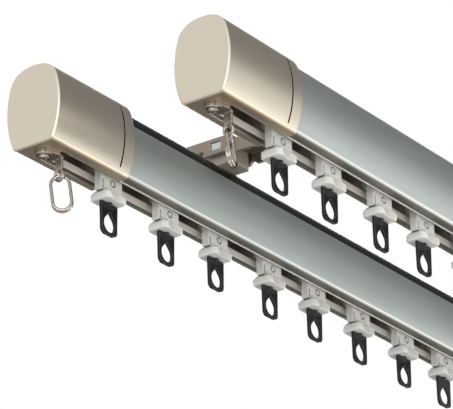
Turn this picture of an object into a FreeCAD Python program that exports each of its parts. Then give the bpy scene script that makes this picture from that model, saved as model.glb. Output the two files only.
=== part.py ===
"""Double decorative curtain track: two domed aluminium rails on telescopic wall brackets.

Everything is drawn in millimetres from the rear rail's left end: X runs along the rails,
Y towards the wall and Z up from the underside of the rear end caps. At export it is moved
so that the origin is the centre of the wall fixing slots, on the wall.
"""
import FreeCAD, Part
import math
import os

from FreeCAD import Vector

# Rails
rail_length = 450.0
rail_pitch = 69.1
front_shift = 7.9
front_lift = 0.5
rail_wall = 1.25

# Outer form of an end cap, which the rail repeats further in
form_height = 32.0
form_half_width = 12.19
widest_drop = 16.74
side_radius = 35.67
top_radius = 17.66
shoulder_radius = 8.49
cap_corner_radius = 2.0
rail_corner_radius = 2.0
channel_corner_radius = 0.7

# Runner channel and its slot
slot_width = 7.4
lip_thickness = 1.1
lip_height = 1.1
bead_width = 0.6
bead_drop = 0.5
channel_ceiling = 12.0
ceiling_web = 1.0

# Clip slot along the top of a rail
mouth_width = 6.4
chamber_width = 10.0
chamber_depth = 7.8
chamber_height = 2.6
chamber_wall = 1.2

# Black strip on the front shoulder of the rear rail
strip_reach = 10.5
strip_sink = 1.15
strip_thickness = 0.75
strip_glue = 0.05
strip_edge_width = 0.7

# End caps
cap_length = 44.4
cap_wall = 1.1
cap_fit = 0.15
cap_end_wall = 1.9
cap_end_chamfer = 0.5
cap_mouth_radius = 0.8
groove_place = 37.75
groove_width = 0.7
groove_depth = 0.55
groove_low_end = 2.6
cutout_start = 11.0
cutout_width = 10.6
boss_length = 6.6
boss_height = 7.4
boss_fit = 0.3

# Cap screws and eye plates
cap_screw_place = 6.5
cap_screw_radius = 1.45
cap_screw_length = 7.0
cap_screw_fit = 0.05
screw_flange_radius = 3.05
screw_flange_height = 0.65
screw_dish_radius = 2.8
screw_dish_depth = 0.35
screw_head_radius = 1.95
screw_head_height = 1.4
screw_head_bulge = 0.55
recess_width = 0.6
recess_length = 2.4
recess_depth = 0.9
plate_thickness = 1.0
plate_width = 5.9
plate_reach = 7.4
plate_shoulder = 2.2
plate_turn = -13.0
tab_width = 3.7
eye_drop = 7.3
eye_radius = 1.8
eye_rim = 0.8

# Split rings
ring_width = 8.0
ring_height = 15.0
ring_wire = 1.2
ring_play = 0.6
ring_lean = 8.0
rear_ring_turn = -54.0
front_ring_turn = 18.0
ring_overlap_share = 0.42

# Wall brackets and their telescopic arms
bracket_inset = 114.5
wall_distance = 58.0
sheet = 1.2
bracket_width = 18.0
bracket_rise = 9.0
side_depth = 6.6
shallow_side_depth = 4.0
wall_end_side_depth = 2.2
deep_side_start = 1.9
side_taper_start = 31.9
bracket_nose = 10.9
nose_chamfer = 2.9
window_start = 1.5
window_width = 5.1
window_depth = 1.5
window_height = 3.7
plate_height = 36.0
wall_plate_width = 30.0
wall_plate_corner = 3.0
wall_slot_radius = 2.6
wall_slot_length = 10.0
wall_slot_spacing = 18.0
slide_gap = 0.3
arm_flange_start = 9.9
arm_tongue_width = 10.0
arm_flange_depth = 4.5
arm_step_place = 11.2
arm_step = 1.4
arm_tail = 22.0
arm_front_gap = 7.0
arm_nose_chamfer = 1.6
reach_in = 3.0
reach_out = 8.0

# Rail clips and their screws
clip_length = 12.0
rear_clip_front = 9.5
rear_clip_back = 6.5
front_clip_front = 2.9
front_clip_slope_end = 4.8
front_clip_back = 16.5
front_clip_edge = 0.6
front_screw_offset = 12.5
latch_play = 0.35
latch_recess = 0.3
clip_seat_gap = 0.25
clip_gap = 0.3
clip_corner = 1.5
clip_screw_radius = 2.0
clip_screw_fit = 0.15
clip_screw_grip = 7.0
clip_hole_rest = 0.4
clip_head_radius = 3.9
clip_head_height = 2.3

# Runners
rear_runner_places = [43.75, 78.25, 109.45, 144.95, 175.45, 207.15, 239.75, 269.95, 303.0]
front_runner_places = [45.75, 77.15, 110.55, 139.85, 171.5, 204.0, 237.0]
neck_length = 12.3
neck_thickness = 3.0
neck_foot = -3.4
neck_top_margin = 2.2
slit_width = 0.7
slit_height = 3.4
slit_inset = 0.8
pin_place = 0.8
pin_height = 0.4
pin_radius = 1.0
pin_recess_radius = 1.5
pin_recess_depth = 0.5
collar_length = 12.0
collar_width = 9.2
collar_height = 3.9
collar_corner = 2.2
collar_top_chamfer = 1.5
collar_low_chamfer = 0.5
scoop_place = 0.45
scoop_depth = 1.0
scoop_radius = 6.8
scoop_flare = 0.27
wheel_radius = 3.7
wheel_width = 3.3
wheel_side_gap = 0.35
wheel_lift = 0.15
axle_radius = 1.0
axle_fit = 0.1

# Swivel hooks
hook_top_width = 9.4
hook_low_width = 8.8
hook_height = 12.4
hook_thickness = 1.1
hook_corner = 2.2
hook_gap = 0.3
hole_width = 6.6
hole_height = 8.0
hole_drop = 3.3
stem_radius = 1.3
stem_head_radius = 1.9
stem_head_height = 1.2
stem_fit = 0.1
stem_pocket_roof = 0.7
stem_play = 0.25

# Values that follow from the ones above
rail_inset = cap_wall + cap_fit
widest_height = form_height - widest_drop
boss_width = slot_width - 2 * boss_fit
chamber_floor = form_height - chamber_depth
strip_start_height = form_height - strip_reach
strip_seat = strip_sink + strip_thickness + strip_glue
bracket_top = form_height + bracket_rise
bracket_places = [bracket_inset, rail_length - bracket_inset]
wall_plate_low = bracket_top - sheet
wall_slot_middle = wall_plate_low + plate_height / 2 + 2.0
arm_top = bracket_top - sheet - slide_gap
arm_width = bracket_width - 2 * sheet - 2 * slide_gap
front_screw_y = front_screw_offset - rail_pitch
collar_low = neck_foot - collar_height
origin = Vector(rail_length / 2, wall_distance, wall_slot_middle)


def box(x0, x1, y0, y1, z0, z1):
    """A block between two corners."""
    return Part.makeBox(x1 - x0, y1 - y0, z1 - z0, Vector(x0, y0, z0))


def rod(radius, start, direction, length):
    """A round bar from a start point along a direction."""
    return Part.makeCylinder(radius, length, Vector(*start), Vector(*direction))


def polygon_face(points):
    """A flat face with straight edges."""
    return Part.Face(Part.makePolygon([Vector(*p) for p in points + points[:1]]))


def section_block(y0, y1, z0, z1):
    """A rectangle in the rail's cross-section plane."""
    return polygon_face([(0, y0, z0), (0, y1, z0), (0, y1, z1), (0, y0, z1)])


def round_box(length, width, height, corner, low):
    """An upright block with rounded corners, centred on the Z axis."""
    block = box(-length / 2, length / 2, -width / 2, width / 2, low, low + height)
    upright = [e for e in block.Edges if abs(e.tangentAt(e.FirstParameter).z) > 0.9]
    return block.makeFillet(corner, upright)


def slot_cutter(radius, length, centre, thickness):
    """A round-ended slot along X that goes through a plate lying across Y."""
    half = length / 2 - radius
    x, y, z = centre
    cutter = box(x - half, x + half, y, y + thickness, z - radius, z + radius)
    for side in (-half, half):
        cutter = cutter.fuse(rod(radius, (x + side, y, z), (0, 1, 0), thickness))
    return cutter.removeSplitter()


# The shared outer form

def form_face(inset, corner_radius):
    """The domed outline of cap and rail, moved in by an even amount."""
    side = (form_half_width - side_radius, widest_height)
    top = (0.0, form_height - top_radius)
    gap = math.hypot(top[0] - side[0], top[1] - side[1])
    reach_side = side_radius - shoulder_radius
    reach_top = top_radius - shoulder_radius
    along = (reach_side ** 2 - reach_top ** 2 + gap ** 2) / (2 * gap)
    across = math.sqrt(reach_side ** 2 - along ** 2)
    unit = ((top[0] - side[0]) / gap, (top[1] - side[1]) / gap)
    shoulder = (side[0] + unit[0] * along - unit[1] * across,
                side[1] + unit[1] * along + unit[0] * across)

    def on_circle(centre, radius, towards):
        angle = math.atan2(towards[1] - centre[1], towards[0] - centre[0])
        return (centre[0] + radius * math.cos(angle), centre[1] + radius * math.sin(angle))

    def middle(centre, radius, start, end):
        return on_circle(centre, radius, ((start[0] + end[0]) / 2, (start[1] + end[1]) / 2))

    side_r, shoulder_r, top_r = side_radius - inset, shoulder_radius - inset, top_radius - inset
    corner_height = inset + corner_radius
    corner_out = math.sqrt((side_r - corner_radius) ** 2 - (corner_height - side[1]) ** 2)
    corner = (side[0] + corner_out, corner_height)
    low = (corner[0], inset)
    leave_corner = (side[0] + (corner[0] - side[0]) * side_r / (side_r - corner_radius),
                    side[1] + (corner[1] - side[1]) * side_r / (side_r - corner_radius))
    leave_side = on_circle(side, side_r, shoulder)
    leave_shoulder = (top[0] + (shoulder[0] - top[0]) * top_r / reach_top,
                      top[1] + (shoulder[1] - top[1]) * top_r / reach_top)
    arcs = [(low, middle(corner, corner_radius, low, leave_corner), leave_corner),
            (leave_corner, middle(side, side_r, leave_corner, leave_side), leave_side),
            (leave_side, middle(shoulder, shoulder_r, leave_side, leave_shoulder), leave_shoulder)]
    edges = [Part.Arc(Vector(0, a[0], a[1]), Vector(0, b[0], b[1]), Vector(0, c[0], c[1])).toShape()
             for a, b, c in arcs]
    crown = (leave_shoulder, (0.0, form_height - inset), (-leave_shoulder[0], leave_shoulder[1]))
    edges.append(Part.Arc(*[Vector(0, y, z) for y, z in crown]).toShape())
    for a, b, c in reversed(arcs):
        edges.append(Part.Arc(*[Vector(0, -y, z) for y, z in (c, b, a)]).toShape())
    edges.append(Part.makeLine(Vector(0, -low[0], inset), Vector(0, low[0], inset)))
    return Part.Face(Part.Wire(Part.__sortEdges__(edges)))


def strip_zone():
    """The part of the section that the black strip takes up on the front shoulder."""
    return section_block(-2 * form_half_width, -mouth_width / 2 - strip_edge_width,
                         strip_start_height, form_height)


# Rails

def rail_section(with_strip_seat):
    """The extrusion's cross-section."""
    skin = form_face(rail_inset, rail_corner_radius)
    inner = form_face(rail_inset + rail_wall, channel_corner_radius)
    wide = 2 * form_half_width
    floor = rail_inset + rail_wall
    channel = inner.common(section_block(-wide, wide, floor, channel_ceiling))
    hollow = inner.common(section_block(-wide, wide, channel_ceiling + ceiling_web, form_height))
    half_box = chamber_width / 2 + chamber_wall
    hollow = hollow.cut(section_block(-half_box, half_box, chamber_floor - chamber_wall, form_height))
    if with_strip_seat:
        seat = skin.cut(form_face(rail_inset + strip_seat, rail_corner_radius)).common(strip_zone())
        thick = inner.cut(form_face(rail_inset + strip_seat + rail_wall, rail_corner_radius))
        hollow = hollow.cut(thick.common(section_block(-wide, 0, strip_start_height - rail_wall,
                                                       form_height)))
        top = form_height - rail_inset - strip_sink - strip_edge_width
        seat = seat.fuse(section_block(-mouth_width / 2 - strip_edge_width - 0.01, 0,
                                       top, form_height))
        skin = skin.cut(seat)
    for side in (-1, 1):
        ends = sorted([side * slot_width / 2, side * (slot_width / 2 + lip_thickness)])
        channel = channel.cut(section_block(ends[0], ends[1], floor - 0.1, floor + lip_height))
    slot = section_block(-slot_width / 2, slot_width / 2, 0, floor + 0.1)
    chamber = section_block(-chamber_width / 2, chamber_width / 2,
                            chamber_floor, chamber_floor + chamber_height)
    mouth = section_block(-mouth_width / 2, mouth_width / 2,
                          chamber_floor + chamber_height - 0.1, form_height)
    for hole in (channel, hollow, slot, chamber, mouth):
        skin = skin.cut(hole)
    return skin


def rail(with_strip_seat):
    """One length of rail, which ends inside both caps."""
    end = cap_end_wall + cap_fit
    section = rail_section(with_strip_seat)
    section.translate(Vector(end, 0, 0))
    body = section.extrude(Vector(rail_length - 2 * end, 0, 0))
    return body.fuse([lip_bead(-1), lip_bead(1)]).removeSplitter()


def lip_bead(side):
    """The rounded bead under one lip of the slot, which runs between the floors of the caps."""
    start = cutout_start + cap_fit
    length = rail_length - 2 * start
    radius = bead_width / 2
    middle = side * (slot_width / 2 + radius)
    centre = rail_inset - bead_drop + radius
    bead = rod(radius, (start, middle, centre), (1, 0, 0), length)
    return bead.fuse(box(start, start + length, middle - radius, middle + radius,
                         centre, rail_inset + 0.1))


def rail_strip():
    """The black strip, from cap to cap."""
    outer = form_face(rail_inset + strip_sink, rail_corner_radius)
    inner = form_face(rail_inset + strip_sink + strip_thickness, rail_corner_radius)
    section = outer.cut(inner).common(strip_zone())
    start = cap_length + cap_fit
    section.translate(Vector(start, 0, strip_glue))
    return section.extrude(Vector(rail_length - 2 * start, 0, 0))


# End caps

def end_cap():
    """A left end cap: a sleeve over the rail with a closed end and an open underside."""
    cap = form_face(0, cap_corner_radius).extrude(Vector(cap_length, 0, 0))
    cap = cap.makeChamfer(cap_end_chamfer, rim_edges(cap, 0))
    cap = cap.makeFillet(cap_mouth_radius, rim_edges(cap, cap_length))
    cavity = form_face(cap_wall, rail_corner_radius + cap_fit)
    cavity.translate(Vector(cap_end_wall, 0, 0))
    cap = cap.cut(cavity.extrude(Vector(cap_length, 0, 0)))
    half = cutout_width / 2
    cap = cap.cut(box(cutout_start, cap_length + 1, -half, half, -1, cap_wall + cap_fit))
    groove = form_face(-1, cap_corner_radius).cut(form_face(groove_depth, cap_corner_radius))
    groove = groove.common(section_block(-form_height, form_height, groove_low_end, 2 * form_height))
    groove.translate(Vector(groove_place, 0, 0))
    cap = cap.cut(groove.extrude(Vector(groove_width, 0, 0)))
    boss = box(cap_end_wall - 0.5, cap_end_wall + boss_length + cap_fit, -boss_width / 2,
               boss_width / 2, cap_wall - 0.2, cap_wall + boss_height)
    cap = cap.fuse(boss)
    hole = rod(cap_screw_radius + cap_screw_fit, (cap_screw_place, 0, -1), (0, 0, 1),
               cap_screw_length + 1)
    return cap.cut(hole).removeSplitter()


def rim_edges(shape, x):
    """The outline edges that lie in one plane across the rail."""
    return [e for e in shape.Edges if all(abs(v.X - x) < 0.001 for v in e.Vertexes)]


def cross_recess(head_low):
    """The cross-shaped driver recess in the underside of a screw head."""
    recess = None
    for turn in (0, 90):
        arm = box(-recess_length / 2, recess_length / 2, -recess_width / 2, recess_width / 2,
                  head_low, head_low + recess_depth)
        arm.rotate(Vector(0, 0, 0), Vector(0, 0, 1), turn + 20)
        recess = arm if recess is None else recess.fuse(arm)
    return recess


def cap_screw():
    """A pan-head screw with a dished flange, its head under the eye plate."""
    seat = -plate_thickness
    flange_low = seat - screw_flange_height
    low = flange_low - screw_head_height
    radius = (screw_head_radius ** 2 + screw_head_bulge ** 2) / (2 * screw_head_bulge)
    bulge = Part.makeSphere(radius, Vector(0, 0, low + radius))
    head = rod(screw_head_radius, (0, 0, low), (0, 0, 1), seat - low).common(bulge)
    flange = rod(screw_flange_radius, (0, 0, flange_low), (0, 0, 1), screw_flange_height)
    flange = flange.cut(Part.makeCone(screw_dish_radius, screw_head_radius, screw_dish_depth,
                                      Vector(0, 0, flange_low)))
    shank = rod(cap_screw_radius, (0, 0, seat), (0, 0, 1), cap_screw_length - seat - 0.5)
    screw = flange.fuse([head, shank]).cut(cross_recess(low - 0.1)).removeSplitter()
    screw.translate(Vector(cap_screw_place, 0, 0))
    return screw


def eye_plate():
    """The pressed plate under a cap screw, with a folded tab that carries the ring."""
    half = plate_width / 2
    half_tab = tab_width / 2
    shoulder = plate_reach - plate_shoulder
    fold = plate_reach - plate_thickness
    pad = rod(half, (0, 0, -plate_thickness), (0, 0, 1), plate_thickness)
    pad = pad.fuse(polygon_plate([(0, -half), (shoulder, -half), (plate_reach, -half_tab),
                                  (plate_reach, half_tab), (shoulder, half), (0, half)]))
    tab = box(fold, plate_reach, -half_tab, half_tab, -eye_drop, 0)
    tab = tab.fuse(rod(eye_radius + eye_rim, (fold, 0, -eye_drop), (1, 0, 0), plate_thickness))
    plate = pad.fuse(tab)
    plate = plate.cut(rod(cap_screw_radius + cap_screw_fit, (0, 0, -5), (0, 0, 1), 10))
    plate = plate.cut(rod(eye_radius, (0, 0, -eye_drop), (1, 0, 0), 20)).removeSplitter()
    plate.rotate(Vector(0, 0, 0), Vector(0, 0, 1), plate_turn)
    plate.translate(Vector(cap_screw_place, 0, 0))
    return plate


def polygon_plate(points):
    """A flat plate of the eye plate's thickness with straight edges."""
    face = polygon_face([(x, y, -plate_thickness) for x, y in points])
    return face.extrude(Vector(0, 0, plate_thickness))


def eye_centre():
    """The middle of the eye in the tab of a left eye plate."""
    turn = math.radians(plate_turn)
    out = plate_reach - plate_thickness / 2
    return Vector(cap_screw_place + out * math.cos(turn), out * math.sin(turn), -eye_drop)


def split_ring(turn):
    """An oval split ring that hangs from the eye of a left eye plate."""
    wire = ring_wire / 2
    radius = ring_width / 2 - wire
    half = ring_height / 2 - wire - radius
    beside = ring_wire * 0.86
    tail_rise = half * ring_overlap_share
    ring = ring_bend(radius, (0, 0, half), 1).fuse([
        rod(wire, (radius, 0, -half), (0, 0, 1), 2 * half),
        rod(wire, (-radius, 0, -half), (0, 0, 1), 2 * half),
        ring_bend(radius, (0, 0, -half), -1),
        ring_bend(radius, (0, beside, -half), -1),
        rod(wire, (radius, beside, -half), (0, 0, 1), half + tail_rise),
        rod(wire, (-radius, beside, -half), (0, 0, 1), half - tail_rise)])
    ring.rotate(Vector(0, 0, 0), Vector(0, 0, 1), turn)
    ring.translate(Vector(0, 0, -half - radius))
    ring.rotate(Vector(0, 0, 0), Vector(1, 0, 0), -ring_lean)
    ring.translate(eye_centre() - Vector(0, 0, eye_radius - wire - ring_play))
    return ring


def ring_bend(radius, centre, side):
    """Half a turn of the ring's wire, above or below its centre."""
    bend = Part.makeTorus(radius, ring_wire / 2, Vector(0, 0, 0), Vector(0, 0, 1), -180, 180, 180)
    bend.rotate(Vector(0, 0, 0), Vector(1, 0, 0), 90 * side)
    bend.translate(Vector(*centre))
    return bend


# Wall brackets

def bracket_side(x):
    """One folded side of a wall bracket, with its window, notch and cut-off nose."""
    low = bracket_top - side_depth
    nose = -bracket_nose
    points = [(wall_distance, bracket_top), (wall_distance, bracket_top - wall_end_side_depth),
              (side_taper_start, bracket_top - shallow_side_depth),
              (deep_side_start, bracket_top - shallow_side_depth), (deep_side_start, low),
              (nose + nose_chamfer, low), (nose, low + nose_chamfer), (nose, bracket_top)]
    side = polygon_face([(x, y, z) for y, z in points]).extrude(Vector(sheet, 0, 0))
    window_top = bracket_top - window_depth
    return side.cut(box(x - 1, x + sheet + 1, -window_start - window_width, -window_start,
                        window_top - window_height, window_top))


def wall_bracket(x):
    """A folded steel wall bracket: a channel open below and a plate up the wall."""
    half = bracket_width / 2
    web = box(x - half, x + half, -bracket_nose, wall_distance, bracket_top - sheet, bracket_top)
    bracket = web.fuse([bracket_side(x - half), bracket_side(x + half - sheet)])
    plate = box(x - wall_plate_width / 2, x + wall_plate_width / 2, wall_distance - 2 * sheet,
                wall_distance, wall_plate_low, wall_plate_low + plate_height)
    plate = plate.makeFillet(wall_plate_corner, [
        e for e in plate.Edges if abs(e.tangentAt(e.FirstParameter).y) > 0.9])
    bracket = bracket.fuse(plate)
    for side in (-1, 1):
        centre = (x, wall_distance - 2 * sheet - 1, wall_slot_middle + side * wall_slot_spacing / 2)
        bracket = bracket.cut(slot_cutter(wall_slot_radius, wall_slot_length, centre, 2 * sheet + 2))
    hole = rod(clip_screw_radius + clip_screw_fit, (x, 0, bracket_top - 2 * sheet), (0, 0, 1), 3 * sheet)
    return bracket.cut(hole).removeSplitter()


def telescopic_arm(x):
    """The inner channel that slides in a wall bracket and carries the front rail."""
    half = arm_width / 2
    front = arm_front_gap - rail_pitch
    high = arm_top - arm_flange_depth
    low = high - arm_step
    arm = box(x - half, x + half, front, -arm_flange_start, arm_top - sheet, arm_top)
    tongue = arm_tongue_width / 2
    arm = arm.fuse(box(x - tongue, x + tongue, -arm_flange_start, arm_tail, arm_top - sheet, arm_top))
    for start in (x - half, x + half - sheet):
        points = [(-arm_flange_start, arm_top), (-arm_flange_start, high),
                  (-arm_step_place, high), (-arm_step_place - arm_step, low),
                  (front + arm_nose_chamfer, low), (front, low + arm_nose_chamfer), (front, arm_top)]
        arm = arm.fuse(polygon_face([(start, y, z) for y, z in points]).extrude(Vector(sheet, 0, 0)))
    radius = clip_screw_radius + clip_screw_fit
    slot = box(x - radius, x + radius, -reach_in, reach_out, arm_top - 2 * sheet, arm_top + 1)
    for y in (-reach_in, reach_out, front_screw_y):
        slot = slot.fuse(rod(radius, (x, y, arm_top - 2 * sheet), (0, 0, 1), 3 * sheet))
    return arm.cut(slot).removeSplitter()


def clip_foot(body_low):
    """The T-shaped foot of a clip, which is pushed along the slot on top of the rail."""
    foot_low = chamber_floor + clip_gap
    foot_top = chamber_floor + chamber_height - clip_gap
    half_neck = mouth_width / 2 - clip_gap
    half_foot = chamber_width / 2 - clip_gap
    half = clip_length / 2
    neck = box(-half, half, -half_neck, half_neck, foot_top - 0.1, body_low + 0.1)
    return neck.fuse(box(-half, half, -half_foot, half_foot, foot_low, foot_top))


def clip_heights(lift):
    """Underside and top of a clip's body, measured from its own rail."""
    return form_height - rail_inset + clip_seat_gap, arm_top - sheet - clip_gap - lift


def rear_clip():
    """A moulded block on the rear rail, latched in the windows of the bracket's channel."""
    low, top = clip_heights(0)
    middle = (rear_clip_back - rear_clip_front) / 2
    body = round_box(clip_length, rear_clip_front + rear_clip_back, top - low, clip_corner, low)
    body.translate(Vector(0, middle, 0))
    latch_out = bracket_width / 2 - latch_recess
    latch_front = latch_play - window_start - window_width
    latch_top = bracket_top - window_depth - latch_play
    latch_low = latch_top - window_height + 2 * latch_play
    for start in (-latch_out, clip_length / 2 - 0.1):
        end = start + latch_out - clip_length / 2 + 0.1
        body = body.fuse(box(start, end, latch_front, -window_start - latch_play,
                             latch_low, latch_top))
    hole_low = bracket_top - clip_screw_grip - clip_hole_rest
    return body.fuse(clip_foot(low)).cut(clip_hole(0, hole_low, top)).removeSplitter()


def front_clip():
    """A moulded block on the front rail with a sloped front and its screw behind the rail."""
    low, top = clip_heights(front_lift)
    points = [(-front_clip_front, low), (-front_clip_front, low + front_clip_edge),
              (front_clip_slope_end, top), (front_clip_back, top), (front_clip_back, low)]
    half = clip_length / 2
    body = polygon_face([(-half, y, z) for y, z in points]).extrude(Vector(clip_length, 0, 0))
    hole_low = arm_top - clip_screw_grip - clip_hole_rest - front_lift
    hole = clip_hole(front_screw_offset, hole_low, top)
    return body.fuse(clip_foot(low)).cut(hole).removeSplitter()


def clip_hole(y, low, top):
    """The blind hole in a clip's body that takes its screw."""
    return rod(clip_screw_radius + clip_screw_fit / 3, (0, y, low), (0, 0, 1), top - low + 1)


def clip_screw(under_head):
    """A button-head screw that stands on its seat and reaches down into a clip."""
    shank = rod(clip_screw_radius, (0, 0, under_head), (0, 0, -1), clip_screw_grip)
    dome = Part.makeSphere(clip_head_radius * 1.15, Vector(0, 0, under_head + clip_head_height
                                                           - clip_head_radius * 1.15))
    head = rod(clip_head_radius, (0, 0, under_head), (0, 0, 1), clip_head_height).common(dome)
    socket = polygon_face([(1.4 * math.cos(math.radians(60 * n)), 1.4 * math.sin(math.radians(60 * n)),
                            under_head + clip_head_height / 2) for n in range(6)])
    screw = head.fuse(shank).cut(socket.extrude(Vector(0, 0, clip_head_height)))
    return screw.removeSplitter()


# Runners

def runner_body():
    """A moulded runner: neck through the slot, collar under the rail, bore for the hook."""
    axle_height = wheel_height()
    front = -neck_thickness / 2
    neck = box(-neck_length / 2, neck_length / 2, front, -front, neck_foot - 0.2,
               axle_height + neck_top_margin)
    slit = box(-neck_length / 2 + slit_inset, -neck_length / 2 + slit_inset + slit_width,
               -neck_thickness, neck_thickness, neck_foot + 0.4, neck_foot + 0.4 + slit_height)
    recess = rod(pin_recess_radius, (pin_place, front - 1, pin_height), (0, 1, 0),
                 1 + pin_recess_depth)
    pin = rod(pin_radius, (pin_place, front, pin_height), (0, 1, 0), pin_recess_depth + 0.1)
    axle_bore = rod(axle_radius + axle_fit, (0, -neck_thickness, axle_height), (0, 1, 0),
                    2 * neck_thickness)
    pocket_top = neck_foot - stem_pocket_roof
    pocket_low = pocket_top - stem_head_height - 2 * stem_play
    pocket = rod(stem_head_radius + stem_play, (0, 0, pocket_low), (0, 0, 1), pocket_top - pocket_low)
    bore = rod(stem_radius + stem_fit, (0, 0, collar_low - 1), (0, 0, 1), pocket_low - collar_low + 1.1)
    body = neck.fuse(runner_collar()).cut([slit, recess, axle_bore, pocket, bore])
    return body.fuse(pin).removeSplitter()


def runner_collar():
    """The collar: a rounded block with bevelled rims and a scoop in its front face."""
    collar = round_box(collar_length, collar_width, collar_height, collar_corner, collar_low)
    collar = collar.makeChamfer(collar_top_chamfer, level_edges(collar, neck_foot))
    collar = collar.makeChamfer(collar_low_chamfer, level_edges(collar, collar_low))
    start = scoop_radius - scoop_flare
    end = scoop_radius + scoop_flare * (collar_height + 1)
    base = Vector(scoop_place, scoop_depth - collar_width / 2 - scoop_radius, collar_low - 1)
    return collar.cut(Part.makeCone(start, end, collar_height + 2, base))


def level_edges(shape, z):
    """The edges of a shape that lie at one height."""
    return [e for e in shape.Edges if all(abs(v.Z - z) < 0.001 for v in e.Vertexes)]


def wheel_height():
    """The height of the wheels' axle when they stand on the slot's lips."""
    return rail_inset + rail_wall + lip_height + wheel_radius + wheel_lift


def wheel_pair():
    """Two wheels on one axle, which runs in the neck."""
    inner = neck_thickness / 2 + wheel_side_gap
    outer = inner + wheel_width
    height = wheel_height()
    pair = rod(axle_radius, (0, -outer, height), (0, 1, 0), 2 * outer)
    for start in (-outer, inner):
        pair = pair.fuse(rod(wheel_radius, (0, start, height), (0, 1, 0), wheel_width))
    return pair.removeSplitter()


def swivel_hook():
    """A flat hook with a drop-shaped eye and a headed stem that turns in the collar."""
    top = collar_low - hook_gap
    low = top - hook_height
    wide, narrow = hook_top_width / 2, hook_low_width / 2
    back = -hook_thickness / 2
    face = polygon_face([(-wide, back, top), (wide, back, top), (narrow, back, low), (-narrow, back, low)])
    plate = face.extrude(Vector(0, hook_thickness, 0))
    corners = [e for e in level_edges(plate, low) if abs(e.Vertexes[0].Y - e.Vertexes[1].Y) > 0.1]
    plate = plate.makeFillet(hook_corner, corners)
    plate = plate.cut(drop_cutter(top - hole_drop))
    pocket_top = neck_foot - stem_pocket_roof
    head_low = pocket_top - stem_play - stem_head_height
    stem = rod(stem_radius, (0, 0, top - 0.2), (0, 0, 1), head_low - top + 0.3)
    head = rod(stem_head_radius, (0, 0, head_low), (0, 0, 1), stem_head_height)
    return plate.fuse([stem, head]).removeSplitter()


def drop_cutter(tip):
    """The drop-shaped eye: a round lower end under two flanks that meet at a tip."""
    radius = hole_width / 2
    centre = tip - hole_height + radius
    slope = math.asin(radius / (tip - centre))
    touch_x = radius * math.cos(slope)
    touch_z = centre + radius * math.sin(slope)
    y = -hook_thickness
    edges = [Part.makeLine(Vector(0, y, tip), Vector(touch_x, y, touch_z)),
             Part.Arc(Vector(touch_x, y, touch_z), Vector(0, y, centre - radius),
                      Vector(-touch_x, y, touch_z)).toShape(),
             Part.makeLine(Vector(-touch_x, y, touch_z), Vector(0, y, tip))]
    return Part.Face(Part.Wire(edges)).extrude(Vector(0, 2 * hook_thickness, 0))


# Assembly

def mirrored(shape):
    """The right-hand twin of a left-end piece."""
    twin = shape.mirror(Vector(rail_length / 2, 0, 0), Vector(1, 0, 0))
    return twin


def moved(shape, x, y, z):
    """A copy of a piece at another place."""
    copy = shape.copy()
    copy.translate(Vector(x, y, z))
    return copy


def build():
    """Every node of the track, by name."""
    nodes = {"rear_rail": rail(True), "rear_rail_strip": rail_strip(),
             "front_rail": moved(rail(False), front_shift, -rail_pitch, front_lift)}
    places = {"rear": (0, 0, 0), "front": (front_shift, -rail_pitch, front_lift)}
    runner_places = {"rear": rear_runner_places, "front": front_runner_places}
    ring_turns = {"rear": rear_ring_turn, "front": front_ring_turn}
    cap, plate, screw = end_cap(), eye_plate(), cap_screw()
    body, wheels, hook = runner_body(), wheel_pair(), swivel_hook()
    for row, place in places.items():
        ring = split_ring(ring_turns[row])
        for name, piece in (("end_cap", cap), ("eye_plate", plate), ("ring", ring)):
            nodes[f"{row}_left_{name}"] = moved(piece, *place)
            nodes[f"{row}_right_{name}"] = moved(mirrored(piece), *place)
        pair = [moved(screw, *place), moved(mirrored(screw), *place)]
        nodes[f"{row}_cap_screws"] = Part.makeCompound(pair)
        for count, x in enumerate(runner_places[row], 1):
            at = (place[0] + x, place[1], place[2])
            runner = Part.makeCompound([moved(body, *at), moved(wheels, *at)])
            nodes[f"{row}_runner_{count}"] = runner
            nodes[f"{row}_hook_{count}"] = moved(hook, *at)
    for side, x in zip(("left", "right"), bracket_places):
        nodes[f"{side}_wall_bracket"] = wall_bracket(x)
        nodes[f"{side}_arm"] = telescopic_arm(x)
        nodes[f"{side}_rear_clip"] = moved(rear_clip(), x, 0, 0)
        nodes[f"{side}_front_clip"] = moved(front_clip(), x, -rail_pitch, front_lift)
    for row, y, seat in (("rear", 0, bracket_top), ("front", front_screw_y, arm_top)):
        screws = [moved(clip_screw(seat), x, y, 0) for x in bracket_places]
        nodes[f"{row}_clip_screws"] = Part.makeCompound(screws)
    return nodes


os.makedirs("parts", exist_ok=True)
for name, shape in build().items():
    shape = moved(shape, -origin.x, -origin.y, -origin.z)
    shape.exportStep(f"parts/{name}.step")
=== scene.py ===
"""Finishes, lights and frames a double curtain track with runners, rings and wall brackets."""
import math

import bpy
from mathutils import Matrix, Vector


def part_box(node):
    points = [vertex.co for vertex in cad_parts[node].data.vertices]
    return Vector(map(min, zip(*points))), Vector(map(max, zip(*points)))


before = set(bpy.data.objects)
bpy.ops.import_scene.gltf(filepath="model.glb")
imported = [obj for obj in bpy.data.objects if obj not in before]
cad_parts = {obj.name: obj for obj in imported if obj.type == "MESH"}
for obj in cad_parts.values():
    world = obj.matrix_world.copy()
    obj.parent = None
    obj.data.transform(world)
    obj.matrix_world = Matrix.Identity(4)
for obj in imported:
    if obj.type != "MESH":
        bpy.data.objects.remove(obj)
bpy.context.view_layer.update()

bl_info = {
    "name": "Double curtain track",
    "version": (1, 0, 0),
    "blender": (4, 5, 0),
    "location": "View3D > Sidebar > Curtain track",
    "description": "Finishes and lights a double curtain track on telescopic wall brackets",
    "category": "Object",
}

MM = 0.001
ROWS = ("rear", "front")
SIDES = ("left", "right")

# Where the solids stand, read from the frame

def box_middle(node, axis):
    """The middle of a piece along one axis, at rest."""
    low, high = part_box(node)
    return (low[axis] + high[axis]) / 2


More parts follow.
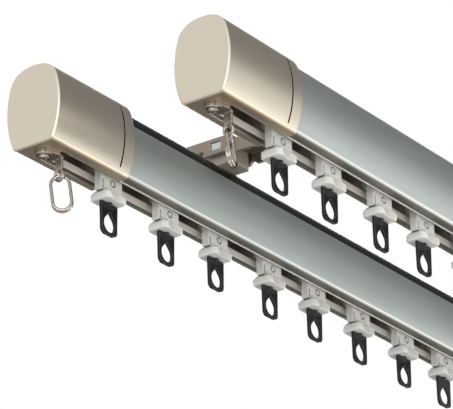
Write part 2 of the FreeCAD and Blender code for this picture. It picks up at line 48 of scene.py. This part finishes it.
X, Y, Z = range(3)
CAP_WALL_AND_FIT = 1.25 * MM
CAP_UNDERSIDES = {row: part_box(f"{row}_left_end_cap")[0][Z] for row in ROWS}
ROW_SHIFTS = {row: box_middle(f"{row}_rail", X) for row in ROWS}
RAIL_MIDDLES = {row: box_middle(f"{row}_left_end_cap", Y) for row in ROWS}
RAIL_UNDERSIDES = {row: CAP_UNDERSIDES[row] + CAP_WALL_AND_FIT for row in ROWS}

# A front clip has no latches, so its ends are those of a clip's body

CLIP_LOW, CLIP_HIGH = (corner[X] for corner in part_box("right_front_clip"))

# The groove round a cap, from the cap's end and underside

GROOVE_FROM_END = 38.1 * MM
GROOVE_RISE = 2.55 * MM
GROOVE_HALF_WIDTH = 0.38 * MM
GROOVE_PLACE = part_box("rear_right_end_cap")[1][X] - GROOVE_FROM_END
GROOVE_LOW_END = CAP_UNDERSIDES["rear"] + GROOVE_RISE

# Distances in a rail's section, out from its middle plane and up from its underside

MASK_MARGIN = 0.05 * MM
SLOT_LIP_REACH = 3.7 * MM + MASK_MARGIN
SLOT_LIP_HEIGHTS = (-1.0 * MM, 2.4 * MM)
CHANNEL_REACH = 8.0 * MM
CHANNEL_HEIGHTS = (0.4 * MM, 10.8 * MM)
UNDERSIDE_SHADE_FADE = (9.0 * MM, 5.0 * MM)
UNDERSIDE_SHADE_OUTER_SHARE = 0.45
INWARD_LIMIT = -1.0 * MM

# How far down a surface looks where the painted shade of its underside starts, and where it is
# full

RAIL_UNDERSIDE_TURN = (0.62, 0.95)
CAP_UNDERSIDE_TURN = (0.36, 0.62)

# Fine marks, by their number to the metre along X, Y and Z, and by their height

RAIL_LINES = (25, 2200, 2200)
CAP_LINES = (150, 7000, 7000)
CAP_GRAIN_SHARE = 0.6
HANDLING_MARKS, HANDLING_HEIGHT = (900, 900, 900), 0.01 * MM
COATING_GRAIN, COATING_HEIGHT = (2500, 2500, 2500), 0.008 * MM
NYLON_CLOUDS, NYLON_HEIGHT = (300, 300, 300), 0.03 * MM
MOULDED_SKIN, SKIN_HEIGHT = (700, 700, 700), 0.015 * MM
NOISE_RANGE = (0.3, 0.7)

# How far the painted shade of a crevice reaches, and how much rounder some edges are than
# others

CREVICE_SHADE_REACH = 0.9 * MM
FOLD_ROUNDING = 2
GLOSS_ROUNDING = 1.3

# Lamps and boards round the track: name, place, size, and power or greyness

STAGE_AIM = (-0.05, -0.06, -0.04)
LAMPS = (
    ("left_lamp", (-1.2, -0.6, 0.1), (0.8, 0.8), 6),
    ("front_lamp", (-0.1, -1.2, -0.9), (0.5, 0.5), 3),
    ("right_lamp", (0.85, -0.88, -0.49), (1.0, 0.5), 4.5),
    ("back_lamp", (0.87, 0.66, 0.20), (0.8, 1.1), 14),
)
CARDS = (
    ("high_card", (0.72, -0.45, 0.78), (1.9, 1.05), 0.22),
    ("low_card", (0.70, 0.50, -0.62), (1.7, 1.3), 0.25),
)


# What a user would change

class MetalFinish(bpy.types.PropertyGroup):
    """Colours and surface sizes of the metal pieces."""
    rail_colour: bpy.props.FloatVectorProperty(
        name="Rail", description="Colour of the satin aluminium rails",
        default=(0.42, 0.445, 0.43), size=3, subtype="COLOR", min=0, max=1)
    cap_colour: bpy.props.FloatVectorProperty(
        name="End caps", description="Colour of the champagne nickel plating",
        default=(0.62, 0.56, 0.465), size=3, subtype="COLOR", min=0, max=1)
    # Painted shade: the grooves round the end caps are coloured near black for the shade deep
    # in them
    groove_shade_colour: bpy.props.FloatVectorProperty(
        name="Grooves", description="Colour inside the grooves round the end caps",
        default=(0.004, 0.004, 0.004), size=3, subtype="COLOR", min=0, max=1)
    ring_colour: bpy.props.FloatVectorProperty(
        name="Rings", description="Colour of the nickel-plated wire",
        default=(0.36, 0.33, 0.29), size=3, subtype="COLOR", min=0, max=1)
    plate_colour: bpy.props.FloatVectorProperty(
        name="Eye plates", description="Colour of the pressed eye plates",
        default=(0.38, 0.34, 0.29), size=3, subtype="COLOR", min=0, max=1)
    screw_colour: bpy.props.FloatVectorProperty(
        name="Screws", description="Colour of the screws",
        default=(0.42, 0.37, 0.31), size=3, subtype="COLOR", min=0, max=1)
    # Painted shade: the rails are darkened where they face down
    underside_shade_colour: bpy.props.FloatVectorProperty(
        name="Undersides of rails", description="Colour of the dull undersides of the rails",
        default=(0.19, 0.165, 0.135), size=3, subtype="COLOR", min=0, max=1)
    # Painted shade: the end caps are darkened where they face down
    cap_underside_shade_colour: bpy.props.FloatVectorProperty(
        name="Undersides of caps", description="Colour of the dull undersides of the end caps",
        default=(0.42, 0.34, 0.25), size=3, subtype="COLOR", min=0, max=1)
    # Painted reflection: a warm tint inside the runner channel stands in for the warm
    # surroundings it mirrors
    channel_reflection_colour: bpy.props.FloatVectorProperty(
        name="Runner channel", description="Colour of the raw metal inside the rails",
        default=(0.46, 0.41, 0.35), size=3, subtype="COLOR", min=0, max=1)
    # Painted light: the slot lips are made pale to show the light that falls into the slot
    lip_light_colour: bpy.props.FloatVectorProperty(
        name="Slot lips", description="Colour of the pale rubbed lips of the runner slot",
        default=(0.80, 0.75, 0.68), size=3, subtype="COLOR", min=0, max=1)
    # Painted reflection: a near-black tint at grazing angles gives the fittings dark outlines
    outline_shade_tint: bpy.props.FloatVectorProperty(
        name="Outline", description="Tint of the small bright fittings where they turn away",
        default=(0.03, 0.022, 0.015), size=3, subtype="COLOR", min=0, max=1)
    bracket_colour: bpy.props.FloatVectorProperty(
        name="Brackets", description="Colour of the coated wall brackets and arms",
        default=(0.27, 0.225, 0.175), size=3, subtype="COLOR", min=0, max=1)
    grain_height: bpy.props.FloatProperty(
        name="Grain height", description="Height of the fine drawn lines along the rails",
        default=0.004 * MM, unit="LENGTH", min=0)
    edge_radius: bpy.props.FloatProperty(
        name="Edge rounding", description="Radius at which cut metal edges catch the light",
        default=0.30 * MM, unit="LENGTH", min=0)


class PlasticFinish(bpy.types.PropertyGroup):
    """Colours and surface sizes of the plastic pieces."""
    runner_colour: bpy.props.FloatVectorProperty(
        name="Runners", description="Colour of the natural nylon runners",
        default=(0.80, 0.80, 0.76), size=3, subtype="COLOR", min=0, max=1)
    # Painted shade: the colour laid deep in the slits and corners of the nylon
    crevice_shade_colour: bpy.props.FloatVectorProperty(
        name="Crevices", description="Colour deep in the slits of the nylon",
        default=(0.05, 0.045, 0.04), size=3, subtype="COLOR", min=0, max=1)
    clip_colour: bpy.props.FloatVectorProperty(
        name="Rail clips", description="Colour of the moulded rail clips",
        default=(0.46, 0.41, 0.33), size=3, subtype="COLOR", min=0, max=1)
    latch_colour: bpy.props.FloatVectorProperty(
        name="Clip latches", description="Colour of the pale latches in the bracket windows",
        default=(0.68, 0.72, 0.72), size=3, subtype="COLOR", min=0, max=1)
    hook_colour: bpy.props.FloatVectorProperty(
        name="Hooks", description="Colour of the black swivel hooks",
        default=(0.006, 0.006, 0.007), size=3, subtype="COLOR", min=0, max=1)
    strip_colour: bpy.props.FloatVectorProperty(
        name="Strip", description="Colour of the black strip on the rear rail",
        default=(0.005, 0.005, 0.006), size=3, subtype="COLOR", min=0, max=1)
    translucency: bpy.props.FloatProperty(
        name="Translucency", description="Share of light that soaks into the nylon",
        default=0.6, subtype="FACTOR", min=0, max=1)
    soak_depth: bpy.props.FloatProperty(
        name="Soak depth", description="How deep light soaks into the nylon",
        default=2.0 * MM, unit="LENGTH", min=0)
    edge_radius: bpy.props.FloatProperty(
        name="Edge rounding", description="Radius of moulded edges",
        default=0.35 * MM, unit="LENGTH", min=0)


class StageSettings(bpy.types.PropertyGroup):
    """Camera and light."""
    camera_place: bpy.props.FloatVectorProperty(
        name="Camera", description="Where the camera stands",
        default=(-1.0126, -0.7058, -0.5428), size=3, subtype="TRANSLATION")
    camera_azimuth: bpy.props.FloatProperty(
        name="Azimuth", description="Direction of view, from the wall's normal towards +X",
        default=math.radians(54.41), subtype="ANGLE")
    camera_elevation: bpy.props.FloatProperty(
        name="Elevation", description="How far the camera looks up",
        default=math.radians(24.25), subtype="ANGLE")
    camera_roll: bpy.props.FloatProperty(
        name="Roll", description="Turn of the camera about its line of sight",
        default=math.radians(-1.23), subtype="ANGLE")
    focal_length: bpy.props.FloatProperty(
        name="Focal length", description="Focal length in millimetres on a 36 mm wide sensor",
        default=252.2, unit="CAMERA", min=1)
    room_level: bpy.props.FloatProperty(
        name="Room light", description="Level of the even light all round",
        default=0.55, min=0)
    background_level: bpy.props.FloatProperty(
        name="Background", description="Level of the white that the camera and metal see",
        default=1.0, min=0)


# Node helpers, where the owner is a material or the world

def add_node(owner, kind, **settings):
    """A node with its settings and input values."""
    node = owner.node_tree.nodes.new(kind)
    for name, value in settings.items():
        if name in node.inputs:
            node.inputs[name].default_value = value
        else:
            setattr(node, name, value)
    return node


def link(owner, source, target):
    """Joins an output to an input."""
    owner.node_tree.links.new(source, target)


def calculate(owner, operation, *values):
    """The result of one operation on numbers and other nodes' outputs."""
    node = add_node(owner, "ShaderNodeMath", operation=operation)
    for value, socket in zip(values, node.inputs):
        if isinstance(value, bpy.types.NodeSocket):
            link(owner, value, socket)
        else:
            socket.default_value = value
    return node.outputs["Value"]


def new_material(name):
    """An empty node material with its output and its surface."""
    material = bpy.data.materials.new(name)
    material.use_nodes = True
    material.node_tree.nodes.clear()
    output = add_node(material, "ShaderNodeOutputMaterial")
    surface = add_node(material, "ShaderNodeBsdfPrincipled")
    link(material, surface.outputs["BSDF"], output.inputs["Surface"])
    return material, surface


def coordinates(material, kind):
    """The X, Y and Z of a point's place on its piece, or of the way its surface looks."""
    where = add_node(material, "ShaderNodeTexCoord")
    parts = add_node(material, "ShaderNodeSeparateXYZ")
    link(material, where.outputs[kind], parts.inputs["Vector"])
    return parts.outputs["X"], parts.outputs["Y"], parts.outputs["Z"]


def ramp(material, value, start, end, low=0.0, high=1.0, kind="LINEAR"):
    """A value that runs from a start to an end, mapped to run from low to high."""
    node = add_node(material, "ShaderNodeMapRange", interpolation_type=kind)
    node.inputs["From Min"].default_value = start
    node.inputs["From Max"].default_value = end
    node.inputs["To Min"].default_value = low
    node.inputs["To Max"].default_value = high
    link(material, value, node.inputs["Value"])
    return node.outputs["Result"]


def noise(material, scale, detail, roughness=0.55):
    """Noise in the piece's own coordinates, stretched by a scale on each axis."""
    where = add_node(material, "ShaderNodeTexCoord")
    stretch = add_node(material, "ShaderNodeMapping", Scale=scale)
    texture = add_node(material, "ShaderNodeTexNoise", Scale=1.0, Detail=detail,
                       Roughness=roughness)
    link(material, where.outputs["Object"], stretch.inputs["Vector"])
    link(material, stretch.outputs["Vector"], texture.inputs["Vector"])
    return texture.outputs["Fac"]


def spread(material, value, low, high):
    """A noise value mapped to a range."""
    return ramp(material, value, *NOISE_RANGE, low, high)


def within(material, value, low, high):
    """One where a value lies between two bounds, and nought elsewhere."""
    return calculate(material, "COMPARE", value, (low + high) / 2, (high - low) / 2)


def facing_down(material, start, full):
    """Nought where the surface looks down less than a start value, and one past a full one."""
    upward = coordinates(material, "Normal")[2]
    return ramp(material, upward, -start, -full, kind="SMOOTHSTEP")


def crevice_shade(material):
    """One deep in slits and narrow corners, where painted shade goes, and nought in the open.
    """
    shelter = add_node(material, "ShaderNodeAmbientOcclusion", samples=8,
                       Distance=CREVICE_SHADE_REACH)
    return ramp(material, shelter.outputs["AO"], start=0.75, end=0.15)


def rounded_normal(material, surface, radius, marks, height):
    """Edges that shade as rounded, with the fine relief of some marks over them."""
    bevel = add_node(material, "ShaderNodeBevel", samples=6, Radius=radius)
    bump = add_node(material, "ShaderNodeBump", Strength=1.0, Distance=height)
    link(material, marks, bump.inputs["Height"])
    link(material, bevel.outputs["Normal"], bump.inputs["Normal"])
    link(material, bump.outputs["Normal"], surface.inputs["Normal"])
    return bevel.outputs["Normal"]


def edge_mask(material, bevel_normal):
    """One where an edge turns and nought on the flat."""
    geometry = add_node(material, "ShaderNodeNewGeometry")
    meeting = add_node(material, "ShaderNodeVectorMath", operation="DOT_PRODUCT")
    link(material, bevel_normal, meeting.inputs[0])
    link(material, geometry.outputs["Normal"], meeting.inputs[1])
    return ramp(material, meeting.outputs["Value"], start=0.98, end=0.80)


def edge_highlit_colour(material, surface, colour, bevel_normal, edge_highlight, tone=None):
    """A colour with a painted highlight that lightens it by a share on the edges, and that
    varies with a tone value.
    """
    # Painted highlight: the colour is lightened towards white on the edges
    highlit = tuple(c + (1 - c) * edge_highlight for c in colour)
    mix = add_node(material, "ShaderNodeMix", data_type="RGBA")
    mix.inputs["A"].default_value = (*colour, 1)
    mix.inputs["B"].default_value = (*highlit, 1)
    link(material, edge_mask(material, bevel_normal), mix.inputs["Factor"])
    result = mix.outputs["Result"]
    if tone is not None:
        shade = add_node(material, "ShaderNodeHueSaturation")
        link(material, result, shade.inputs["Color"])
        link(material, tone, shade.inputs["Value"])
        result = shade.outputs["Color"]
    link(material, result, surface.inputs["Base Color"])


def recolour(material, surface, colour, mask):
    """Lays a colour over the surface's own where a mask is one."""
    own = surface.inputs["Base Color"].links[0].from_socket
    mix = add_node(material, "ShaderNodeMix", data_type="RGBA")
    mix.inputs["B"].default_value = (*colour, 1)
    link(material, mask, mix.inputs["Factor"])
    link(material, own, mix.inputs["A"])
    link(material, mix.outputs["Result"], surface.inputs["Base Color"])


# Masks by place

def rail_masks(material, row):
    """Where a rail's underside gets painted shade, where its channel gets a painted warm
    reflection, and where its lips get painted light.
    """
    _, across, up = coordinates(material, "Object")
    sideways = calculate(material, "SUBTRACT", across, RAIL_MIDDLES[row])
    above = calculate(material, "SUBTRACT", up, RAIL_UNDERSIDES[row])
    aside = calculate(material, "ABSOLUTE", sideways)
    # Painted shade on the downward faces of the rail, weaker towards its outer edges
    shaded = calculate(material, "MULTIPLY", facing_down(material, *RAIL_UNDERSIDE_TURN),
                     ramp(material, aside, *UNDERSIDE_SHADE_FADE, low=UNDERSIDE_SHADE_OUTER_SHARE))
    outlook = coordinates(material, "Normal")[1]
    inward = calculate(material, "LESS_THAN",
                       calculate(material, "MULTIPLY", sideways, outlook), INWARD_LIMIT)
    inside = calculate(material, "MAXIMUM", within(material, aside, 0, CHANNEL_REACH), inward)
    channel = calculate(material, "MULTIPLY", inside,
                        within(material, above, *CHANNEL_HEIGHTS))
    lips = calculate(material, "MULTIPLY", within(material, aside, 0, SLOT_LIP_REACH),
                     within(material, above, *SLOT_LIP_HEIGHTS))
    return shaded, channel, lips


def groove_shade_mask(material, shift):
    """One inside the grooves round the two caps of a row, where painted shade goes, and nought
    elsewhere.
    """
    along, _, up = coordinates(material, "Object")
    out = calculate(material, "ABSOLUTE", calculate(material, "SUBTRACT", along, shift))
    near = within(material, out, GROOVE_PLACE - GROOVE_HALF_WIDTH,
                  GROOVE_PLACE + GROOVE_HALF_WIDTH)
    return calculate(material, "MULTIPLY", near,
                     calculate(material, "GREATER_THAN", up, GROOVE_LOW_END))


def latch_mask(material):
    """One on the latches that stick out of the clips' bodies, and nought elsewhere."""
    out = calculate(material, "ABSOLUTE", coordinates(material, "Object")[0])
    body = within(material, out, CLIP_LOW - MASK_MARGIN, CLIP_HIGH + MASK_MARGIN)
    return calculate(material, "SUBTRACT", 1.0, body)


# Finishes

def satin_aluminium(finish, row):
    """Anodised aluminium, drawn along its length, with painted shade on its underside, a
    painted warm reflection in the channel and painted light on its lips.
    """
    material, surface = new_material(f"{row}_satin_aluminium")
    lines = noise(material, RAIL_LINES, detail=5, roughness=0.7)
    bevel = rounded_normal(material, surface, finish.edge_radius, lines, finish.grain_height)
    tone = spread(material, lines, 0.92, 1.08)
    edge_highlit_colour(material, surface, finish.rail_colour, bevel, edge_highlight=0.5, tone=tone)
    shaded, channel, lips = rail_masks(material, row)
    # Painted shade on the rail's underside
    recolour(material, surface, finish.underside_shade_colour, shaded)
    # Painted reflection inside the runner channel
    recolour(material, surface, finish.channel_reflection_colour, channel)
    # Painted light on the slot lips, which are also made matt rather than metal
    recolour(material, surface, finish.lip_light_colour, lips)
    link(material, calculate(material, "SUBTRACT", 1.0, lips), surface.inputs["Metallic"])
    link(material, spread(material, lines, 0.42, 0.52), surface.inputs["Roughness"])
    return material


def champagne_nickel(finish, name, shift):
    """Satin nickel plating, brushed along the cap, with painted shade on its underside and in
    its groove.
    """
    material, surface = new_material(name)
    lines = noise(material, CAP_LINES, detail=4)
    bevel = rounded_normal(material, surface, finish.edge_radius, lines,
                           CAP_GRAIN_SHARE * finish.grain_height)
    tone = spread(material, lines, 0.97, 1.03)
    edge_highlit_colour(material, surface, finish.cap_colour, bevel, edge_highlight=0.2, tone=tone)
    # Painted shade on the faces of the cap that look down
    recolour(material, surface, finish.cap_underside_shade_colour,
             facing_down(material, *CAP_UNDERSIDE_TURN))
    # Painted shade in the grooves of the caps
    recolour(material, surface, finish.groove_shade_colour, groove_shade_mask(material, shift))
    link(material, spread(material, lines, 0.34, 0.42), surface.inputs["Roughness"])
    surface.inputs["Metallic"].default_value = 1.0
    return material


def bright_plating(finish, name, colour, roughness):
    """Smooth plated steel with faint marks of handling, and a painted dark outline where it
    turns away.
    """
    material, surface = new_material(name)
    marks = noise(material, HANDLING_MARKS, detail=5)
    bevel = rounded_normal(material, surface, finish.edge_radius, marks, HANDLING_HEIGHT)
    tone = spread(material, marks, 0.9, 1.08)
    edge_highlit_colour(material, surface, colour, bevel, edge_highlight=0.4, tone=tone)
    link(material, spread(material, marks, 0.8 * roughness, 1.3 * roughness),
         surface.inputs["Roughness"])
    # Painted dark outline where the surface turns away
    surface.inputs["Specular Tint"].default_value = (*finish.outline_shade_tint, 1)
    surface.inputs["Metallic"].default_value = 1.0
    return material


def bracket_coating(finish):
    """Warm grey-brown satin coating on folded steel."""
    material, surface = new_material("bracket_coating")
    grain = noise(material, COATING_GRAIN, detail=2)
    bevel = rounded_normal(material, surface, FOLD_ROUNDING * finish.edge_radius, grain,
                           COATING_HEIGHT)
    tone = spread(material, grain, 0.95, 1.05)
    edge_highlit_colour(material, surface, finish.bracket_colour, bevel, edge_highlight=0.35, tone=tone)
    surface.inputs["Roughness"].default_value = 0.38
    surface.inputs["Metallic"].default_value = 0.6
    return material


def nylon(finish, name, colour):
    """Milky moulded nylon that lets a little light in, with its surface and painted shade in
    its slits and narrow corners.
    """
    material, surface = new_material(name)
    clouds = noise(material, NYLON_CLOUDS, detail=3)
    bevel = rounded_normal(material, surface, finish.edge_radius, clouds, NYLON_HEIGHT)
    tone = spread(material, clouds, 0.95, 1.04)
    edge_highlit_colour(material, surface, colour, bevel, edge_highlight=0.5, tone=tone)
    # Painted shade in slits and narrow corners, found by occlusion
    recolour(material, surface, finish.crevice_shade_colour, crevice_shade(material))
    surface.inputs["Roughness"].default_value = 0.38
    surface.inputs["IOR"].default_value = 1.53
    surface.inputs["Subsurface Weight"].default_value = finish.translucency
    surface.inputs["Subsurface Radius"].default_value = (1.0, 1.0, 0.95)
    surface.inputs["Subsurface Scale"].default_value = finish.soak_depth
    return material, surface


def clip_plastic(finish):
    """Warm grey moulded plastic, with pale latches that stand in the bracket's windows."""
    material, surface = nylon(finish, "clip_plastic", finish.clip_colour)
    recolour(material, surface, finish.latch_colour, latch_mask(material))
    return material


def black_gloss(finish, name, colour, roughness):
    """Black moulded plastic with a low gloss."""
    material, surface = new_material(name)
    skin = noise(material, MOULDED_SKIN, detail=2)
    bevel = rounded_normal(material, surface, GLOSS_ROUNDING * finish.edge_radius, skin,
                           SKIN_HEIGHT)
    edge_highlit_colour(material, surface, colour, bevel, edge_highlight=0.12)
    link(material, spread(material, skin, 0.8 * roughness, 1.2 * roughness),
         surface.inputs["Roughness"])
    surface.inputs["IOR"].default_value = 1.5
    surface.inputs["Specular IOR Level"].default_value = 0.2
    return material


# Pieces

def dress(names, material):
    """Gives CAD pieces a material."""
    for name in names:
        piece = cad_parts[name]
        piece.data.materials.clear()
        piece.data.materials.append(material)
        for face in piece.data.polygons:
            face.material_index = 0


def nodes_like(*words):
    """The names of the CAD pieces whose names hold one of these words."""
    return sorted(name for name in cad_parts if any(word in name for word in words))


class TRACK_OT_rails(bpy.types.Operator):
    """Finish the two aluminium rails"""
    bl_idname = "track.rails"
    bl_label = "Rails"

    def execute(self, context):
        for row in ROWS:
            material = satin_aluminium(context.scene.track_metal, row)
            dress([f"{row}_rail"], material)
        return {"FINISHED"}


class TRACK_OT_strip(bpy.types.Operator):
    """Finish the black strip on the rear rail"""
    bl_idname = "track.strip"
    bl_label = "Black strip"

    def execute(self, context):
        plastic = context.scene.track_plastic
        material = black_gloss(plastic, "strip_black", plastic.strip_colour, roughness=0.3)
        dress(["rear_rail_strip"], material)
        return {"FINISHED"}


class TRACK_OT_end_caps(bpy.types.Operator):
    """Finish the end caps"""
    bl_idname = "track.end_caps"
    bl_label = "End caps"

    def execute(self, context):
        metal = context.scene.track_metal
        for row in ROWS:
            material = champagne_nickel(metal, f"{row}_cap_nickel", ROW_SHIFTS[row])
            dress([f"{row}_{side}_end_cap" for side in SIDES], material)
        return {"FINISHED"}


class TRACK_OT_screws(bpy.types.Operator):
    """Finish the screws under the caps and on the clips"""
    bl_idname = "track.screws"
    bl_label = "Screws"

    def execute(self, context):
        metal = context.scene.track_metal
        material = bright_plating(metal, "screw_plating", metal.screw_colour, roughness=0.18)
        dress(nodes_like("screws"), material)
        return {"FINISHED"}


class TRACK_OT_eye_plates(bpy.types.Operator):
    """Finish the folded eye plates"""
    bl_idname = "track.eye_plates"
    bl_label = "Eye plates"

    def execute(self, context):
        metal = context.scene.track_metal
        material = bright_plating(metal, "plate_plating", metal.plate_colour, roughness=0.30)
        dress(nodes_like("eye_plate"), material)
        return {"FINISHED"}


class TRACK_OT_rings(bpy.types.Operator):
    """Finish the split rings"""
    bl_idname = "track.rings"
    bl_label = "Split rings"

    def execute(self, context):
        metal = context.scene.track_metal
        material = bright_plating(metal, "ring_plating", metal.ring_colour, roughness=0.14)
        dress(nodes_like("_ring"), material)
        return {"FINISHED"}


class TRACK_OT_brackets(bpy.types.Operator):
    """Finish the wall brackets and their arms"""
    bl_idname = "track.brackets"
    bl_label = "Wall brackets"

    def execute(self, context):
        material = bracket_coating(context.scene.track_metal)
        dress(nodes_like("bracket", "_arm"), material)
        return {"FINISHED"}


class TRACK_OT_clips(bpy.types.Operator):
    """Finish the moulded rail clips"""
    bl_idname = "track.clips"
    bl_label = "Rail clips"

    def execute(self, context):
        names = [f"{side}_{row}_clip" for side in SIDES for row in ROWS]
        dress(names, clip_plastic(context.scene.track_plastic))
        return {"FINISHED"}


class TRACK_OT_runners(bpy.types.Operator):
    """Finish the nylon runners"""
    bl_idname = "track.runners"
    bl_label = "Runners"

    def execute(self, context):
        plastic = context.scene.track_plastic
        material, _ = nylon(plastic, "runner_nylon", plastic.runner_colour)
        dress(nodes_like("_runner_"), material)
        return {"FINISHED"}


class TRACK_OT_hooks(bpy.types.Operator):
    """Finish the black swivel hooks"""
    bl_idname = "track.hooks"
    bl_label = "Swivel hooks"

    def execute(self, context):
        plastic = context.scene.track_plastic
        material = black_gloss(plastic, "hook_black", plastic.hook_colour, roughness=0.22)
        dress(nodes_like("_hook_"), material)
        return {"FINISHED"}


# Stage

def viewing_rotation(azimuth, elevation, roll):
    """The camera's rotation from its direction of view and roll."""
    ahead = Vector((math.sin(azimuth) * math.cos(elevation),
                    math.cos(azimuth) * math.cos(elevation), math.sin(elevation)))
    right = Vector((math.cos(azimuth), -math.sin(azimuth), 0))
    up = right.cross(ahead)
    turned_right = math.cos(roll) * right + math.sin(roll) * up
    turned_up = -math.sin(roll) * right + math.cos(roll) * up
    return Matrix((turned_right, turned_up, -ahead)).transposed()


def add_camera(settings):
    """The camera below and to the left of the track, looking up along it."""
    data = bpy.data.cameras.new("camera")
    data.lens = settings.focal_length
    data.sensor_width = 36
    data.clip_start = 0.01
    data.clip_end = 20
    camera = bpy.data.objects.new("camera", data)
    bpy.context.scene.collection.objects.link(camera)
    rotation = viewing_rotation(settings.camera_azimuth, settings.camera_elevation,
                                settings.camera_roll)
    camera.matrix_world = Matrix.Translation(settings.camera_place) @ rotation.to_4x4()
    bpy.context.scene.camera = camera


def add_aimed(name, data, place):
    """An object that faces the track from its place and is hidden from the camera."""
    thing = bpy.data.objects.new(name, data)
    bpy.context.scene.collection.objects.link(thing)
    thing.visible_camera = False
    thing.location = place
    ahead = Vector(STAGE_AIM) - Vector(place)
    thing.rotation_euler = ahead.to_track_quat("-Z", "Y").to_euler()
    return thing


def add_lamp(name, place, size, power):
    """A soft rectangular lamp that shines on the track."""
    data = bpy.data.lights.new(name, "AREA")
    data.shape = "RECTANGLE"
    data.size, data.size_y = size
    data.energy = power
    lamp = add_aimed(name, data, place)


def add_card(name, place, size, greyness):
    """A matt board that the metal mirrors."""
    half_x, half_y = size[0] / 2, size[1] / 2
    mesh = bpy.data.meshes.new(name)
    mesh.from_pydata([(-half_x, -half_y, 0), (half_x, -half_y, 0), (half_x, half_y, 0),
                      (-half_x, half_y, 0)], [], [(0, 1, 2, 3)])
    material, surface = new_material(name)
    surface.inputs["Base Color"].default_value = (greyness, greyness, greyness, 1)
    surface.inputs["Roughness"].default_value = 1.0
    mesh.materials.append(material)
    card = add_aimed(name, mesh, place)


def add_room(settings):
    """Even light all round, and white where the camera or metal looks past the track."""
    world = bpy.data.worlds.new("room")
    bpy.context.scene.world = world
    world.use_nodes = True
    world.node_tree.nodes.clear()
    room, white = (add_node(world, "ShaderNodeBackground", Color=(1, 1, 1, 1), Strength=level)
                   for level in (settings.room_level, settings.background_level))
    ray = add_node(world, "ShaderNodeLightPath").outputs
    seen = calculate(world, "MAXIMUM", ray["Is Camera Ray"], ray["Is Glossy Ray"])
    through = calculate(world, "MAXIMUM", seen, ray["Is Transmission Ray"])
    mix = add_node(world, "ShaderNodeMixShader")
    output = add_node(world, "ShaderNodeOutputWorld")
    link(world, through, mix.inputs["Fac"])
    link(world, room.outputs["Background"], mix.inputs[1])
    link(world, white.outputs["Background"], mix.inputs[2])
    link(world, mix.outputs["Shader"], output.inputs["Surface"])


class TRACK_OT_stage(bpy.types.Operator):
    """Set up the camera, the lamps and the white background"""
    bl_idname = "track.stage"
    bl_label = "Camera and light"

    def execute(self, context):
        settings = context.scene.track_stage
        context.scene.view_settings.view_transform = "Standard"
        add_camera(settings)
        add_room(settings)
        for name, place, size, power in LAMPS:
            add_lamp(name, place, size, power)
        for name, place, size, greyness in CARDS:
            add_card(name, place, size, greyness)
        return {"FINISHED"}


# Add-on

class TRACK_PT_pieces(bpy.types.Panel):
    """Lists the pieces of the curtain track"""
    bl_idname = "TRACK_PT_pieces"
    bl_label = "Curtain track"
    bl_space_type = "VIEW_3D"
    bl_region_type = "UI"
    bl_category = "Curtain track"

    def draw(self, context):
        for kind in STEPS:
            self.layout.operator(kind.bl_idname)
        for group in (context.scene.track_metal, context.scene.track_plastic,
                      context.scene.track_stage):
            box = self.layout.box()
            for name in group.__annotations__:
                box.prop(group, name)


GROUPS = {"track_metal": MetalFinish, "track_plastic": PlasticFinish,
          "track_stage": StageSettings}
STEPS = (TRACK_OT_stage, TRACK_OT_rails, TRACK_OT_strip, TRACK_OT_end_caps, TRACK_OT_screws,
         TRACK_OT_eye_plates, TRACK_OT_rings, TRACK_OT_brackets, TRACK_OT_clips,
         TRACK_OT_runners, TRACK_OT_hooks)


def register():
    """Adds the add-on's classes and settings."""
    for name, group in GROUPS.items():
        bpy.utils.register_class(group)
        setattr(bpy.types.Scene, name, bpy.props.PointerProperty(type=group))
    for kind in (*STEPS, TRACK_PT_pieces):
        bpy.utils.register_class(kind)


def unregister():
    """Takes them away again."""
    for kind in (TRACK_PT_pieces, *reversed(STEPS)):
        bpy.utils.unregister_class(kind)
    for name, group in reversed(GROUPS.items()):
        delattr(bpy.types.Scene, name)
        bpy.utils.unregister_class(group)


def main():
    """Builds the scene step by step."""
    register()
    for kind in STEPS:
        family, step = kind.bl_idname.split(".")
        getattr(getattr(bpy.ops, family), step)()


if __name__ == "__main__":
    main()
